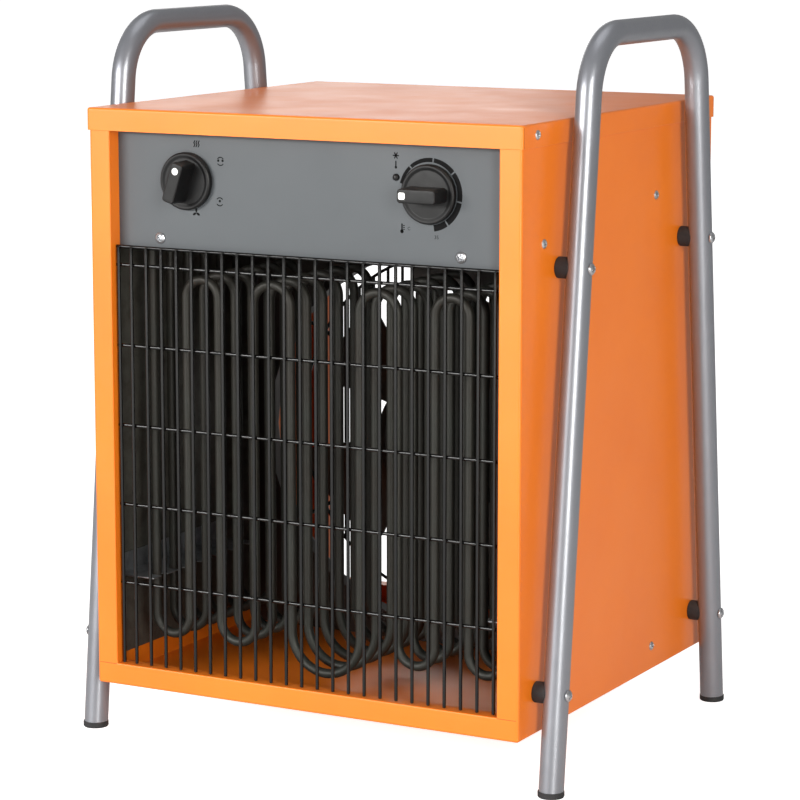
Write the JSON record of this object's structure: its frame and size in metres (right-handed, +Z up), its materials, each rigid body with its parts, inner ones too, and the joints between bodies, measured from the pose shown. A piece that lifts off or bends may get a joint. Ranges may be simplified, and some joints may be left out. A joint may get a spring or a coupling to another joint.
{
  "type": "industrial fan heater",
  "caption": "Floor-standing electric fan heater: folded orange steel casing hung between bent tube frames, with a wire grille, tubular elements, axial fan and a recessed control panel.",
  "frame": {"origin": "on the floor, at the centre of the overall box", "axes": "+X towards the side with the thermostat knob, +Y towards the fan side at the back, +Z up"},
  "size_m": [0.497, 0.417, 0.656],
  "materials": {
    "orange_paint": "semi-gloss powder coat",
    "grey_paint": "satin paint",
    "frame_paint": "grey metallic paint on steel tube",
    "zinc_steel": "zinc plated",
    "black_steel": "glossy black paint",
    "sheath_steel": "dark oxidised sheath",
    "black_plastic": "fine satin moulding",
    "rubber": "matt rubber",
    "ceramic": "unglazed ceramic",
    "pale_plastic": "pale technical plastic",
    "copper": "drawn copper"
  },
  "bodies": {
    "chassis": {"casing_body": "orange_paint", "lid": "orange_paint", "control_panel": "grey_paint", "side_frame_left": "frame_paint", "side_frame_right": "frame_paint", "element_shelf": "zinc_steel", "fan_motor": "zinc_steel", "element_support_left": "zinc_steel", "element_support_right": "zinc_steel", "thermostat_body": "zinc_steel", "bolt_left_front_lower": "zinc_steel", "bolt_left_front_upper": "zinc_steel", "bolt_left_rear_lower": "zinc_steel", "bolt_left_rear_upper": "zinc_steel", "bolt_right_front_lower": "zinc_steel", "bolt_right_front_upper": "zinc_steel", "bolt_right_rear_lower": "zinc_steel", "bolt_right_rear_upper": "zinc_steel", "fan_wall": "black_steel", "heat_shield_left": "black_steel", "heat_shield_right": "black_steel", "front_grille": "black_steel", "fan_guard": "black_steel", "limiter_housing": "black_steel", "heating_element_1": "sheath_steel", "heating_element_2": "sheath_steel", "heating_element_3": "sheath_steel", "heating_element_4": "sheath_steel", "heating_element_5": "sheath_steel", "heating_element_6": "sheath_steel", "cable_gland": "black_plastic", "gland_nut": "black_plastic", "foot_left_front": "rubber", "foot_left_rear": "rubber", "foot_right_front": "rubber", "foot_right_rear": "rubber", "spacer_left_front_lower": "rubber", "spacer_left_front_upper": "rubber", "spacer_left_rear_lower": "rubber", "spacer_left_rear_upper": "rubber", "spacer_right_front_lower": "rubber", "spacer_right_front_upper": "rubber", "spacer_right_rear_lower": "rubber", "spacer_right_rear_upper": "rubber", "insulator_bar_left": "ceramic", "insulator_bar_right": "ceramic", "selector_switch": "pale_plastic", "cutout_body": "pale_plastic", "contactor": "pale_plastic", "terminal_block": "pale_plastic", "thermostat_sensor": "copper"},
    "selector": {"selector_knob": "black_plastic", "selector_spindle": "zinc_steel"},
    "thermostat": {"thermostat_knob": "black_plastic", "thermostat_spindle": "zinc_steel"},
    "reset": {"reset_button": "black_plastic"},
    "fan": {"fan_rotor": "black_steel", "fan_impeller": "black_steel"}
  },
  "joints": [
    {"name": "selector_turn", "type": "hinge", "parent": "chassis", "child": "selector", "pos_m": [-0.1205, -0.1817, 0.5126], "axis": [0, 1, 0], "range_deg": [0, 150]},
    {"name": "thermostat_turn", "type": "hinge", "parent": "chassis", "child": "thermostat", "pos_m": [0.1205, -0.1817, 0.5126], "axis": [0, 1, 0], "range_deg": [0, 270]},
    {"name": "reset_push", "type": "slide", "parent": "chassis", "child": "reset", "axis": [0, 1, 0], "range_m": [0, 0.002], "stiffness_N_per_m": 400},
    {"name": "fan_spin", "type": "hinge", "parent": "chassis", "child": "fan", "pos_m": [0, 0.069, 0.252], "axis": [0, 1, 0], "continuous": true}
  ]
}
